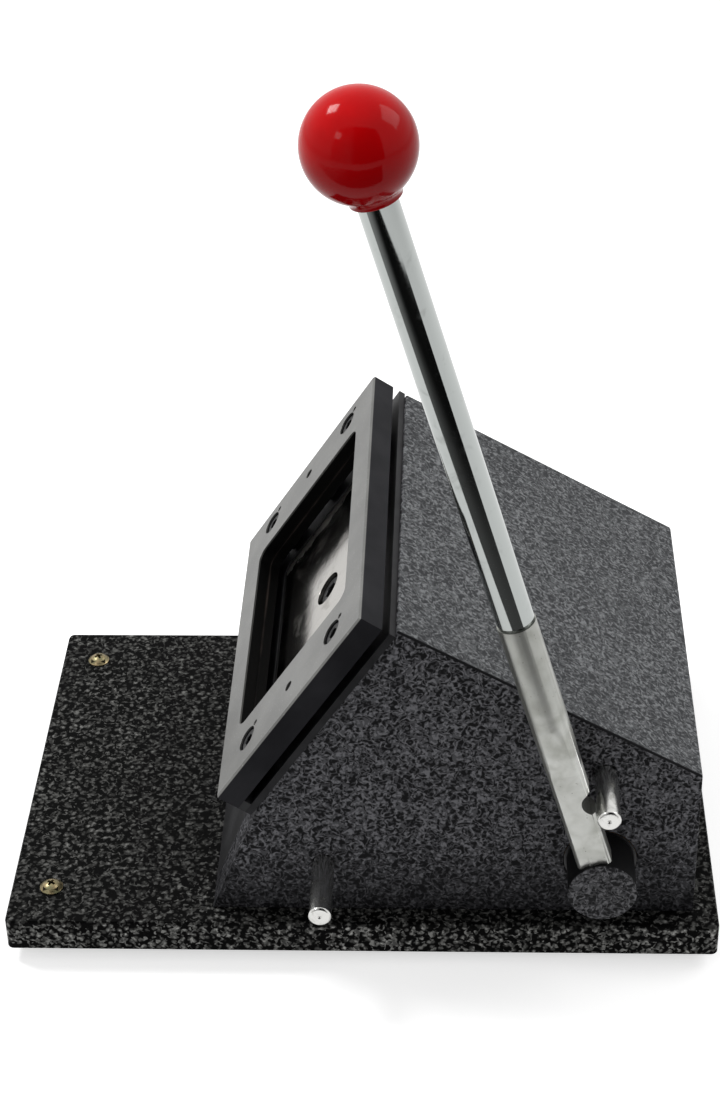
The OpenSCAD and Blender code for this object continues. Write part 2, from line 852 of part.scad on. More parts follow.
// The arm: a round bar, flat-sided and coped over the hub below, scalloped for the pin
module lever_arm() {
    color("#b4b7b8")
    difference() {
        on_lever() difference() {
            union() {
                intersection() {
                    cylinder(d = arm_d, h = flat_end + over);
                    translate([-arm_w / 2, -arm_t / 2, shaft_d / 4])
                        cube([arm_w, arm_t, flat_end]);
                }
                translate([0, 0, flat_end]) cylinder(d = arm_d, h = joint_r - flat_end);
                translate([0, 0, -stub_d / 2]) cylinder(d = stub_d, h = hub_d);
            }
            translate([0, 0, joint_r - rod_thread_l - over])
                cylinder(d = rod_thread_d + 2 * seat_gap, h = rod_thread_l + 2 * over);
            translate([seat_e, arm_w, seat_z]) rotate([90, 0, 0]) cylinder(d = stop_d + 2 * pin_gap, h = 2 * arm_w);
            hub_clearance();
        }
        lock_pin_place() bar(lock_pin_d + 2 * seat_gap, hub_y - over, near_y);
    }
}

// The hub's round side, less the arm's stub inside it
module hub_clearance() {
    difference() {
        rotate([90, 0, 0]) cylinder(d = hub_d + 2 * seat_gap, h = 2 * hub_l, center = true);
        translate([0, 0, -hub_d]) cylinder(d = stub_d, h = 2 * hub_d);
    }
}

module lever_rod() {
    color("#d8dadb")
    on_lever() {
        translate([0, 0, joint_r + seat_gap]) rod_body();
        translate([0, 0, joint_r - rod_thread_l]) cylinder(d = rod_thread_d, h = rod_thread_l + over);
        translate([0, 0, lever_l - over]) cylinder(d = rod_thread_d, h = over + knob_d / 4);
    }
}

// Chamfered where it meets the arm, so that the joint shows as a thin ring
module rod_body() {
    edge = 0.4;
    cylinder(d1 = rod_d - 2 * edge, d2 = rod_d, h = edge);
    translate([0, 0, edge]) cylinder(d = rod_d, h = lever_l - knob_d / 2 + over - joint_r - edge);
    translate([0, 0, edge]) cylinder(d = rod_thread_d, h = lever_l - joint_r - edge);
}

module lever_knob() {
    color("#c01722")
    on_lever() translate([0, 0, lever_l]) difference() {
        union() {
            sphere(d = knob_d);
            translate([0, 0, -knob_d / 2 - knob_neck_l]) cylinder(d1 = knob_neck_d - 1, d2 = knob_neck_d, h = knob_d / 4);
        }
        translate([0, 0, -knob_d]) cylinder(d = rod_d + 2 * seat_gap, h = knob_d / 2 + over + 2 * seat_gap);
        translate([0, 0, -knob_d / 2]) cylinder(d = rod_thread_d + 2 * seat_gap, h = 3 * knob_d / 4 + seat_gap);
    }
}

// ---- Ram ----

module wear_pad() {
    color("#7d8084")
    on_ram() translate([0, 0, pad_face]) difference() {
        cylinder(d = pad_d, h = pad_t);
        translate([0, 0, pad_t / 2]) cylinder(d = spigot_d + 2 * seat_gap, h = pad_t);
    }
}

module plunger() {
    color("#b4b7b8")
    on_ram() {
        translate([0, 0, tail_s]) cylinder(d = plunger_d, h = plunger_end - tail_s);
        translate([0, 0, tail_s - pad_t / 2 + seat_gap]) cylinder(d = spigot_d, h = pad_t);
        translate([0, 0, plunger_end - over]) cylinder(d = spigot_d, h = spigot_l + over);
    }
}

module punch_holder() {
    color("#55585c")
    difference() {
        on_face() translate([0, 0, plunger_w])
            card_block(punch_l - 2 * holder_in, punch_wd - 2 * holder_in, punch_r, holder_t);
        on_ram() translate([0, 0, plunger_end - over]) cylinder(d = spigot_d + 2 * seat_gap, h = spigot_l + over + seat_gap);
        on_face() punch_holes();
    }
}

// The holes that the punch and its holder share
module punch_holes() {
    translate([0, 0, punch_w - punch_head_sink - punch_screw_l - over / 2])
        cylinder(d = punch_screw_d + 2 * seat_gap, h = punch_screw_l + punch_head_sink);
    for (v = [-1, 1]) translate([0, v * punch_dowel_v, holder_w - punch_dowel_l / 2])
        cylinder(d = punch_dowel_d + 2 * seat_gap, h = punch_dowel_l);
}

module punch() {
    color("#a9adb0")
    on_face() difference() {
        translate([0, 0, holder_w]) card_block(punch_l, punch_wd, punch_r, punch_h);
        punch_holes();
        translate([0, 0, punch_w - punch_head_sink]) cylinder(d = punch_head_d + 2 * hole_gap, h = punch_head_sink + over);
    }
}

module punch_screw() {
    color("#1f2022")
    on_face() translate([0, 0, punch_w - punch_head_sink])
        socket_screw(punch_screw_d, punch_head_d, punch_screw_l);
}

module punch_dowels() {
    color("#8e9194")
    on_face() for (v = [-1, 1]) translate([0, v * punch_dowel_v, holder_w - punch_dowel_l / 2 + seat_gap])
        cylinder(d = punch_dowel_d, h = punch_dowel_l - 2 * seat_gap);
}

module cross_plate() {
    color("#55585c")
    on_ram() difference() {
        translate([-cross_h / 2, near_in_y, cross_s]) cube([cross_h, far_in_y - near_in_y, cross_t]);
        translate([0, 0, cross_s - over])
            cylinder(d = plunger_d + 2 * (ram_bush_wall + seat_gap), h = cross_t + 2 * over);
    }
}

module ram_bush() {
    color("#a67c45")
    on_ram() translate([0, 0, cross_s]) difference() {
        union() {
            cylinder(d = plunger_d + 2 * ram_bush_wall, h = cross_t + ram_bush_out);
            translate([0, 0, cross_t]) cylinder(d = plunger_d + 4 * ram_bush_wall, h = ram_bush_wall);
        }
        translate([0, 0, -over]) cylinder(d = plunger_d + 2 * run_gap, h = cross_t + ram_bush_out + 2 * over);
        translate([0, 0, cross_t + ram_bush_out - bush_edge])
            cylinder(d1 = plunger_d, d2 = plunger_d + 4 * bush_edge, h = 2 * bush_edge);
    }
}

// ---- Return spring ----

spring_sides = 8;
spring_rings = 24;
spring_r = (plunger_d + pad_d) / 4 + spring_wire / 4;
spring_l = cross_s - tail_s - 2 * seat_gap - spring_wire;

// Centre of the wire after a number of turns: closed end turns, open between
function spring_lead(t) = min(t, 1) * spring_wire * 1.08
    + max(0, min(t - 1, spring_turns - 2)) * (spring_l - 2.16 * spring_wire) / (spring_turns - 2)
    + max(0, t - spring_turns + 1) * spring_wire * 1.08;
function spring_point(t, a) =
    let (r = spring_r + spring_wire / 2 * cos(a))
    [r * cos(360 * t), r * sin(360 * t), spring_lead(t) + spring_wire / 2 * sin(a)];

module return_spring() {
    rings = spring_turns * spring_rings;
    sides = spring_sides;
    points = [for (i = [0:rings], j = [0:sides - 1]) spring_point(i / spring_rings, j * 360 / sides)];
    walls = [for (i = [0:rings - 1], j = [0:sides - 1])
        let (k = (j + 1) % sides)
        for (f = [[i * sides + j, (i + 1) * sides + j, (i + 1) * sides + k],
                  [i * sides + j, (i + 1) * sides + k, i * sides + k]]) f];
    ends = [[for (j = [0:sides - 1]) j], [for (j = [sides - 1:-1:0]) rings * sides + j]];
    color("#6f7276")
    on_ram() translate([0, 0, tail_s + seat_gap + spring_wire / 2]) polyhedron(points, concat(walls, ends));
}

// ---- Nodes ----

base_plate();
feet();
foot_screws();
foot_nuts();
rear_foot_screws();
base_screws();
near_wall();
far_wall();
roof_plate();
rear_plate();
front_apron();
guide_plate();
bed_plate();
sheet_stop();
screw_spacers();
die_block();
die_screws();
die_dowels();
cross_plate();
ram_bush();
near_shaft_bush();
far_shaft_bush();
front_stop_pin();
rear_stop_pin();
cam_shaft();
cam();
cam_key();
cam_screw();
shaft_clip();
lever_arm();
lever_lock_pin();
lever_rod();
lever_knob();
wear_pad();
plunger();
punch_holder();
punch();
punch_screw();
punch_dowels();
return_spring();
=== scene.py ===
import json
from math import atan2, cos, degrees, pi, radians, sin, sqrt

import bmesh
import bpy
from mathutils import Matrix, Vector

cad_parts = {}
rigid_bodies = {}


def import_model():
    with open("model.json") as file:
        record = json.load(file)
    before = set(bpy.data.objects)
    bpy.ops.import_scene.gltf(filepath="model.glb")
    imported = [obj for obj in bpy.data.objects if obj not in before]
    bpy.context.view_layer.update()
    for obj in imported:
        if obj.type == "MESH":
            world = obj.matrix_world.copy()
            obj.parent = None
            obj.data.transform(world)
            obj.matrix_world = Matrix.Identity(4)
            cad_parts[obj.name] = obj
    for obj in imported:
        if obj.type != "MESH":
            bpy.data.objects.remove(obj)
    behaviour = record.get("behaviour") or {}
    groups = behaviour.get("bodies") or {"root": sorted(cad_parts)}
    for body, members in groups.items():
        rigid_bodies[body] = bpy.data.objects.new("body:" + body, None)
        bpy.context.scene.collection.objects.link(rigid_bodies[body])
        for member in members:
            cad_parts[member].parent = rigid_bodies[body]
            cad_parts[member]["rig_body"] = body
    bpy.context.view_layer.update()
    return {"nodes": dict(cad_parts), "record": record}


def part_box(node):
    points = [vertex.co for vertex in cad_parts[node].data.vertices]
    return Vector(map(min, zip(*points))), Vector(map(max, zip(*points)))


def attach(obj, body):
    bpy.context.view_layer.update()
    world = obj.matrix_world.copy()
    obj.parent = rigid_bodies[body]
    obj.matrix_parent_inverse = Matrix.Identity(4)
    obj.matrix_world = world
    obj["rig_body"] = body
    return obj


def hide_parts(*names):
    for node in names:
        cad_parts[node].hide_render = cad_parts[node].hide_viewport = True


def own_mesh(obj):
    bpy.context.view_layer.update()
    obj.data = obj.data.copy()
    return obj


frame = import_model()

# ---- Sizes and places of the cutter, in millimetres as in the model's source ----

MM = 0.001
LENGTHWAYS, SIDEWAYS, UPWARDS = (1, 0, 0), (0, 1, 0), (0, 0, 1)


def box(node):
    """A node's lowest and highest corners, in millimetres."""
    return [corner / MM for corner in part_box(node)]


def middle(node):
    """The middle of a node's box, in millimetres."""
    low, high = box(node)
    return (low + high) / 2


# The card that it cuts, and the slope of the die's face
CARD_L, CARD_W = 85.6, 54
FACE_SLOPE = 56.2
FACE_MIDDLE = Vector((-18.3, 0, 86.1))

# The plate and the housing on it
PLATE_TOP = box("base_plate")[1].z
PLATE_CORNER_R = 4
FOOT_X, FOOT_Y = middle("foot_screws").x, 54.5
NEAR_WALL_Y = box("near_wall")[0].y
FAR_WALL_Y = box("far_wall")[1].y
HOUSING_MIDDLE = (0, (NEAR_WALL_Y + FAR_WALL_Y) / 2, 0)
HOUSING_HALF = (FAR_WALL_Y - NEAR_WALL_Y) / 2
APEX = Vector((11.6, 0, 110.6))
REAR_TOP = Vector((93, 0, 63.1))

# The lever, with its lean at rest, its length to the middle of the ball and its arm's section
SHAFT = Vector(frame["record"]["behaviour"]["joints"][0]["pos_m"]) / MM
HUB_END_Y = box("cam_shaft")[0].y
LEVER_Y = middle("lever_rod").y
LEVER_LEAN = 15.9
LEVER_L = 226
ARM_W, ARM_T, ARM_D = 9.4, 7.4, 10.4

UP_SLOPE = Vector((cos(radians(FACE_SLOPE)), 0, sin(radians(FACE_SLOPE))))
OFF_FACE = Vector((-UP_SLOPE.z, 0, UP_SLOPE.x))
UP_LEVER = Vector((-sin(radians(LEVER_LEAN)), 0, cos(radians(LEVER_LEAN))))
ROOF_NORMAL = Vector(((APEX - REAR_TOP).z, 0, (REAR_TOP - APEX).x)).normalized()


def place(origin, axis, across):
    """Puts a piece's own axes at a place in millimetres: z along axis and x along across."""
    z, x = Vector(axis).normalized(), Vector(across).normalized()
    turn = Matrix((x, z.cross(x), z)).transposed()
    return Matrix.Translation(Vector(origin) * MM) @ turn.to_4x4()


LEVER_PLACE = place((SHAFT.x, LEVER_Y, SHAFT.z), UP_LEVER, (UP_LEVER.z, 0, -UP_LEVER.x))


# ---- Finishes ----

def tone(code):
    """A colour as the shaders use it, from the six figures of a paint card."""
    parts = [int(code[i:i + 2], 16) / 255 for i in (0, 2, 4)]
    return tuple(c / 12.92 if c < 0.04045 else ((c + 0.055) / 1.055) ** 2.4 for c in parts) + (1,)


class Level:
    """A number that varies over a surface. Sums and products of levels add Math nodes."""

    def __init__(self, shading, socket):
        self.shading, self.socket = shading, socket

    def _math(self, operation, *values):
        return self.shading.node("ShaderNodeMath", {"operation": operation},
                                 dict(enumerate(values)))

    def __add__(self, other):
        return self._math("ADD", self, other)

    def __sub__(self, other):
        return self._math("SUBTRACT", self, other)

    def __rsub__(self, other):
        return self._math("SUBTRACT", other, self)

    def __mul__(self, other):
        return self._math("MULTIPLY", self, other)

    def __abs__(self):
        return self._math("ABSOLUTE", self)

    __radd__, __rmul__ = __add__, __mul__

    def most(self, other):
        """The higher of two levels."""
        return self._math("MAXIMUM", self, other)

    def rise(self, low, high):
        """0 at low and 1 at high, smooth between them; it falls where high is the lower."""
        span = {"Value": self, "From Min": low, "From Max": high}
        return self.shading.node("ShaderNodeMapRange", {"interpolation_type": "SMOOTHSTEP"}, span)


class Shading:
    """The shader nodes of a material or of the room."""

    def __init__(self, owner):
        owner.use_nodes = True
        self.tree = owner.node_tree
        self.tree.nodes.clear()

    def node(self, kind, settings=None, values=None, output=None):
        """Adds a node: its settings first, then the values or links of its sockets."""
        made = self.tree.nodes.new(kind)
        for setting, value in (settings or {}).items():
            setattr(made, setting, value)
        for key, value in (values or {}).items():
            self._join(self._socket(made.inputs, key), value)
        return Level(self, self._socket(made.outputs, output))

    def _socket(self, sockets, key):
        """A socket by its number or name, or the first that is shown."""
        if isinstance(key, int):
            return sockets[key]
        shown = [s for s in sockets if s.enabled]
        return next((s for s in shown if key in (None, s.name, s.identifier)), None)

    def _join(self, socket, value):
        if isinstance(value, Level):
            self.tree.links.new(value.socket, socket)
        else:
            socket.default_value = value


class Finish(Shading):
    """A procedural material on one Principled shader, with patterns on the piece's own place."""

    def __init__(self, name, **plain):
        self.material = bpy.data.materials.new(name)
        super().__init__(self.material)
        surface = self.node("ShaderNodeBsdfPrincipled")
        self.node("ShaderNodeOutputMaterial", values={"Surface": surface})
        self.shader = surface.socket.node
        for socket, value in plain.items():
            self.vary(socket.replace("_", " ").title().replace("Ior", "IOR"), value)
        self.spot = self.node("ShaderNodeTexCoord", output="Object")

    def vary(self, socket, value):
        """Sets or links a socket of the Principled shader."""
        self._join(self.shader.inputs[socket], value)

    def mix(self, factor, low, high):
        """A colour between two others."""
        return self.node("ShaderNodeMix", {"data_type": "RGBA"},
                         {"Factor": factor, "A": low, "B": high})

    def along(self, axis, origin=(0, 0, 0)):
        """Distance in millimetres from an origin along an axis."""
        start = self.node("ShaderNodeVectorMath", {"operation": "SUBTRACT"},
                          {0: self.spot, 1: tuple(Vector(origin) * MM)})
        unit = tuple(Vector(axis).normalized() / MM)
        return self.node("ShaderNodeVectorMath", {"operation": "DOT_PRODUCT"},
                         {0: start, 1: unit}, "Value")

    def from_shaft(self):
        """Distance in millimetres from the shaft's axis."""
        start = self.node("ShaderNodeVectorMath", {"operation": "SUBTRACT"},
                          {0: self.spot, 1: tuple(SHAFT * MM)})
        flat = self.node("ShaderNodeVectorMath", {"operation": "MULTIPLY"},
                         {0: start, 1: (1 / MM, 0, 1 / MM)})
        return self.node("ShaderNodeVectorMath", {"operation": "LENGTH"}, {0: flat}, "Value")

    def noise(self, grain, detail=2, rough=0.5, swirl=0.0):
        """Cloudy noise whose spots are about grain millimetres across."""
        return self._noise(self.spot, 1 / (grain * MM), detail, rough, swirl)

    def streaks(self, per_metre, detail, rough, turn=(0, 0, 0)):
        """Noise that is long along one axis: its spots to a metre on each axis, then a turn."""
        drawn = self.node("ShaderNodeMapping", None, {
            "Vector": self.spot, "Rotation": tuple(radians(a) for a in turn),
            "Scale": per_metre})
        return self._noise(drawn, 1, detail, rough, 0)

    def rings(self, radius, per_millimetre, detail, rough):
        """Noise that only changes with a radius."""
        return self._noise(radius * per_millimetre, 1, detail, rough, 0)

    def _noise(self, spot, scale, detail, rough, swirl):
        return self.node("ShaderNodeTexNoise", None, {
            "Vector": spot, "Scale": scale, "Detail": detail, "Roughness": rough,
            "Distortion": swirl}, "Fac")

    def cells(self, grain):
        """Distance to the nearest of many points, scattered about grain millimetres apart."""
        return self.node("ShaderNodeTexVoronoi", None, {
            "Vector": self.spot, "Scale": 1 / (grain * MM)}, "Distance")

    def relief(self, height, depth):
        """Raises the surface by height times depth millimetres."""
        self.vary("Normal", self.node("ShaderNodeBump", None, {
            "Strength": 1.0, "Distance": depth * MM, "Height": height}))


def leafing(finish, grain, cover):
    """Hammered paint's pale leafing: worm-like veins and knots between dark pools."""
    vein = abs(finish.noise(grain * 2.2, 1.5, 0.5, 0.8) - 0.5).rise(cover, cover * 0.25)
    knot = finish.noise(grain * 1.1, 1, 0.5, 0.3).rise(0.47, 0.66)
    return vein * (0.45 + 0.55 * knot) + knot * 0.35


def plate_paint():
    """The base plate's coarse hammered paint, near black with pale dots and worms."""
    paint = Finish("plate_paint", specular_ior_level=0.035)
    dot = paint.cells(2.0).rise(0.48, 0.15)
    worm = paint.noise(1.6, 1, 0.5, 0.9).rise(0.52, 0.61)
    knot = paint.noise(1.3, 1, 0.5, 0.3).rise(0.43, 0.64)
    leaf = (dot * 0.5 + worm * 0.5) * (0.3 + 0.7 * knot)
    patch = paint.noise(40, 2).rise(0.3, 0.7)
    # painted highlight: the plate's sides below its top edge get much paler flecks, so they read
    # as lit
    edge = paint.along(UPWARDS).rise(PLATE_TOP - 0.6, PLATE_TOP - 1.2)
    pale = paint.mix(edge, tone("8c8c89"), tone("d4d4d0"))
    paint.vary("Base Color", paint.mix(leaf * (0.65 + 0.35 * patch), tone("050505"), pale))
    paint.vary("Roughness", 0.62 - 0.2 * leaf)
    paint.relief(leaf, 0.10)
    return paint


def housing_paint():
    """The housing's finer hammered paint: paler on the roof, as painted light on its top, and
    darkest just over the plate, as painted shade.
    """
    paint = Finish("housing_paint", specular_ior_level=0.08)
    leaf = leafing(paint, 0.95, 0.1)
    below_roof = paint.along(-ROOF_NORMAL, APEX)
    roof = below_roof.rise(0.5, 0.2)
    # painted shade: the wall's pale flecks fade out towards the plate, where shade falls
    low = paint.along(UPWARDS).rise(46, 15)
    side = abs(paint.along(SIDEWAYS, HOUSING_MIDDLE))
    rubbed = side.rise(HOUSING_HALF - 0.6, HOUSING_HALF - 0.3) * below_roof.rise(0.7, 0.5)
    # the roof's flecks are paler towards its middle, in large patches, and darker towards its
    # sides
    paler_middle = side.rise(HOUSING_HALF + 1, 25) * paint.noise(45, 2).rise(0.2, 0.6)
    wall_tone = paint.mix(leaf * (1 - 0.7 * low), tone("101012"), tone("727276"))
    # painted light: the roof's ground and flecks are paler than the walls', as the top catches
    # more light
    roof_tone = paint.mix(leaf * (0.75 + 0.25 * paler_middle), tone("3c3d3f"), tone("828486"))
    painted = paint.mix(roof, wall_tone, roof_tone)
    paint.vary("Base Color", paint.mix(rubbed, painted, tone("19191b")))
    paint.vary("Roughness", 0.6 - 0.18 * leaf)
    paint.relief(leaf, 0.07)
    return paint


def hub_paint():
    """Hammered paint on the hub's end, black on its round side, partly as painted shade, and the
    shaft's turned steel, with a dark centre painted as the shade of a centre-drill hole.
    """
    paint = Finish("hub_paint", specular_ior_level=0.1)
    leaf = leafing(paint, 0.9, 0.1)
    end = paint.along(SIDEWAYS).rise(HUB_END_Y + 0.6, HUB_END_Y + 0.3)
    shaft = paint.along(SIDEWAYS).rise(NEAR_WALL_Y - 0.4, NEAR_WALL_Y - 0.2)
    out = paint.from_shaft()
    turned_grey = paint.mix(paint.rings(out, 3.5, 3, 0.6) * 0.6, tone("707173"), tone("b0b1b2"))
    # painted shade: a dark disc at the shaft's end stands in for the hollow of a centre-drill hole
    centred = paint.mix(out.rise(1.5, 1.2), turned_grey, tone("222223"))
    painted = paint.mix(leaf, tone("161618"), tone("6c6c6f"))
    # the hub's round side is near black: partly its black finish and partly painted shade around
    # the hub
    bare = paint.mix(shaft, tone("0d0d0e"), centred)
    paint.vary("Base Color", paint.mix(end, bare, painted))
    paint.vary("Metallic", shaft * 0.9)
    paint.vary("Roughness", 0.5 - 0.12 * leaf * end - 0.1 * shaft)
    paint.relief(leaf * end, 0.07)
    return paint


def satin_black(name, colour, rough):
    """Smooth sprayed black with a little orange peel and rubbed patches."""
    paint = Finish(name, specular_ior_level=0.35)
    peel = paint.noise(0.6, 2)
    rub = paint.noise(18, 3).rise(0.35, 0.75)
    paint.vary("Base Color", paint.mix(rub * 0.35, tone(colour), tone("3a3b3d")))
    paint.vary("Roughness", rough + 0.1 * rub)
    paint.relief(peel, 0.02)
    return paint


def ground_lines(finish, across, length=9):
    """Fine lines that a grinding wheel leaves along the die's face, sizes in millimetres."""
    per_metre = (1 / (across * MM), 1 / (length * MM), 1 / (across * MM))
    return finish.streaks(per_metre, 4, 0.65, (0, FACE_SLOPE, 0))


def die_steel():
    """The die: its face ground bright, its sides blued dark, and the opening's walls blued near
    black, deepened by painted shade, with a painted glint along the land's step.
    """
    steel = Finish("die_steel", specular_ior_level=0.06)
    depth = steel.along(-OFF_FACE, FACE_MIDDLE)
    land_depth = 4
    lines = ground_lines(steel, 0.16)
    across, length = 1 / (0.35 * MM), 1 / (26 * MM)
    scratch = steel.streaks((across, across, length), 2, 0.5, (20, 90 - FACE_SLOPE, 0))
    scratch = scratch.rise(0.66, 0.72)
    cloud = steel.noise(14, 3).rise(0.3, 0.75)
    face = depth.rise(0.62, 0.4)
    beside, above = abs(steel.along(SIDEWAYS)), abs(steel.along(UP_SLOPE, FACE_MIDDLE))
    inside = (beside.rise(CARD_L / 2 + 3.2, CARD_L / 2 + 2.2)
              * above.rise(CARD_W / 2 + 4, CARD_W / 2 + 3))
    # painted glint: a paler line along the land's step, inside the opening
    step = abs(depth - land_depth).rise(0.5, 0.1) * inside
    ground = steel.mix(0.45 * lines + 0.3 * cloud, tone("676766"), tone("8f8f8c"))
    bright = steel.mix(scratch * 0.5, ground, tone("b4b4b1"))
    dark = steel.mix(cloud * 0.5, tone("1c1c1f"), tone("333336"))
    # the opening's walls: near black, their dark steel deepened by painted shade in the recess
    pit = steel.mix(step * cloud, tone("030303"), tone("2a2421"))
    steel.vary("Base Color", steel.mix(face, steel.mix(inside, dark, pit), bright))
    steel.vary("Metallic", 0.25 + 0.7 * face - 0.25 * inside * (1 - face))
    steel.vary("Roughness", 0.55 - 0.2 * face + 0.12 * lines * face)
    steel.relief(lines * face + 0.3 * (1 - face) * cloud, 0.012)
    return steel


def punch_steel():
    """The punch: ground bright, with faint stains, and darker near its sides, which is painted
    shade from the die's walls around it.
    """
    steel = Finish("punch_steel", metallic=1.0)
    lines = ground_lines(steel, 0.14)
    stain = steel.noise(7, 4, 0.6, 0.6).rise(0.5, 0.72)
    wave = steel.noise(7, 5, 0.65)
    edge = abs(steel.along(SIDEWAYS)).rise(CARD_L / 2 - 9.8, CARD_L / 2 + 0.2)
    # painted shade: the die's walls shade the punch near its sides, drawn as a darker ragged band
    wall_shade = (edge * 0.55 + steel.noise(5, 5, 0.7, 0.5)).rise(0.78, 0.9)
    shade = steel.mix(stain * 0.3, tone("a09d98"), tone("7c766d"))
    steel.vary("Base Color", steel.mix(wall_shade * 0.4, shade, tone("57514a")))
    steel.vary("Roughness", 0.09 + 0.05 * lines + 0.12 * stain + 0.25 * wall_shade)
    steel.relief(0.12 * lines + wave, 0.035)
    return steel


def rolled_steel(name, pale, deep, rough):
    """Plain plate as it was cut, oiled, with faint rolling lines."""
    steel = Finish(name, metallic=0.75)
    lines = ground_lines(steel, 0.3, length=14)
    cloud = steel.noise(9, 4, 0.6).rise(0.35, 0.7)
    steel.vary("Base Color", steel.mix(cloud, tone(pale), tone(deep)))
    steel.vary("Roughness", rough + 0.15 * lines)
    steel.relief(lines, 0.01)
    return steel


def black_oxide():
    """Blackened screws: dull, with specks of dust and bare steel on what rubs."""
    steel = Finish("black_oxide", metallic=0.6)
    speck = steel.cells(0.55).rise(0.32, 0.12)
    cloud = steel.noise(1.6, 3).rise(0.4, 0.7)
    steel.vary("Base Color", steel.mix(speck * cloud, tone("131315"), tone("6c6d6e")))
    steel.vary("Roughness", 0.42 + 0.15 * cloud)
    steel.relief(cloud, 0.02)
    return steel


def turned_steel():
    """Turned bright pins: fine rings along the pin, a little oil and rub."""
    steel = Finish("turned_steel", metallic=1.0)
    rings = steel.streaks((90, 9000, 90), 3, 0.6)
    smear = steel.noise(3.5, 3, 0.6, 0.8).rise(0.45, 0.8)
    steel.vary("Base Color", steel.mix(smear, tone("dadad7"), tone("a9a8a2")))
    steel.vary("Roughness", 0.13 + 0.1 * rings + 0.12 * smear)
    steel.relief(rings, 0.012)
    return steel


def satin_nickel():
    """The arm's dull nickel plate over a cast surface, clouded and lightly pitted."""
    plate = Finish("satin_nickel", metallic=0.9)
    cloud = plate.noise(7, 3, 0.5, 0.3).rise(0.3, 0.8)
    pit = plate.cells(1.1).rise(0.18, 0.05) * plate.noise(5, 2).rise(0.5, 0.65)
    skin = plate.noise(0.9, 2, 0.5)
    # darker towards the arm's top
    darker_upwards = plate.along(UP_LEVER, SHAFT).rise(44, 74)
    fresh = plate.mix(cloud, tone("c6c7c3"), tone("a1a29b"))
    shade = plate.mix(darker_upwards * 0.5, fresh, tone("83847e"))
    plate.vary("Base Color", plate.mix(pit, shade, tone("5b5850")))
    plate.vary("Roughness", 0.3 + 0.1 * cloud + 0.2 * pit)
    plate.relief(skin - pit, 0.02)
    return plate


def chrome():
    """The rod's bright chromium, with a breath of dust and finger marks."""
    plate = Finish("chrome", metallic=1.0)
    mark = plate.noise(9, 4, 0.65, 0.6).rise(0.55, 0.8)
    plate.vary("Base Color", plate.mix(mark, tone("b0b4b2"), tone("999c9a")))
    plate.vary("Roughness", 0.06 + 0.13 * mark)
    plate.relief(plate.noise(2.5, 2), 0.002)
    return plate


def red_plastic():
    """The ball: deep glossy red, darker towards its neck as painted shade from the light above,
    with the faintest waviness.
    """
    ball = Finish("red_plastic", specular_ior_level=0.1)
    depth = ball.noise(11, 3).rise(0.35, 0.7)
    # painted shade: the red darkens from the ball's top down to its neck
    height = ball.along(UP_LEVER, SHAFT).rise(LEVER_L - 8, LEVER_L + 17)
    red = ball.mix(height, tone("860004"), tone("e0050b"))
    ball.vary("Base Color", ball.mix(depth * 0.25, red, tone("a00006")))
    ball.vary("Roughness", 0.08 + 0.05 * ball.noise(3, 3))
    ball.relief(ball.noise(5, 2), 0.01)
    return ball


def yellow_zinc():
    """Gold passivated zinc, which drifts between brass and pale green, and goes near black down in
    the cross recesses: grime and painted shade.
    """
    plate = Finish("yellow_zinc", metallic=0.9)
    drift = plate.noise(1.8, 3, 0.6, 0.5).rise(0.35, 0.7)
    ahead = abs(plate.along(LENGTHWAYS, (FOOT_X, 0, 0)))
    beside = abs(abs(plate.along(SIDEWAYS)) - FOOT_Y)
    below = plate.along(UPWARDS).rise(PLATE_TOP + 1.3, PLATE_TOP + 1.15)
    # grime and painted shade: near black down in the screws' cross recesses
    recess = ahead.most(beside).rise(2.4, 2.1) * below
    gold = plate.mix(drift, tone("9b8a68"), tone("6b6a50"))
    plate.vary("Base Color", plate.mix(recess, gold, tone("1d180e")))
    plate.vary("Roughness", 0.28 + 0.15 * drift + 0.3 * recess)
    plate.relief(plate.noise(0.5, 2), 0.01)
    return plate


def bronze():
    """Sintered bronze bushes, porous and oiled, painted black where they meet the outside; on the
    near side this black also stands in for the shade around the hub.
    """
    metal = Finish("bronze")
    pore = metal.cells(0.35).rise(0.2, 0.08)
    side = abs(metal.along(SIDEWAYS, HOUSING_MIDDLE))
    # painted shade in part: the black outer faces also stand for the shadow around the hub
    painted = side.rise(HOUSING_HALF - 0.2, HOUSING_HALF - 0.1)
    bare = metal.mix(pore, tone("b8894e"), tone("5d4326"))
    metal.vary("Base Color", metal.mix(painted, bare, tone("111112")))
    metal.vary("Metallic", 0.9 - 0.9 * painted)
    metal.vary("Roughness", 0.38 + 0.25 * pore)
    metal.relief(1 - pore, 0.02)
    return metal


def rubber():
    """Black moulded rubber with a dusty bloom."""
    feet = Finish("rubber", specular_ior_level=0.3)
    bloom = feet.noise(2.5, 4, 0.65).rise(0.45, 0.75)
    feet.vary("Base Color", feet.mix(bloom, tone("141414"), tone("2f2e2d")))
    feet.vary("Roughness", 0.75 + 0.15 * bloom)
    feet.relief(feet.noise(0.3, 2), 0.02)
    return feet


FINISHES = {
    "plate": plate_paint(), "housing": housing_paint(), "hub": hub_paint(),
    "apron": satin_black("apron_paint", "151517", 0.48),
    "dark": satin_black("sheet_stop_paint", "111113", 0.6),
    "die": die_steel(), "punch": punch_steel(),
    "bed": rolled_steel("bed_steel", "232325", "131315", 0.42),
    "plain": rolled_steel("dark_steel", "77787a", "4c4d4f", 0.35),
    "oxide": black_oxide(), "pin": turned_steel(), "arm": satin_nickel(), "chrome": chrome(),
    "ball": red_plastic(), "zinc": yellow_zinc(), "bronze": bronze(), "rubber": rubber(),
}

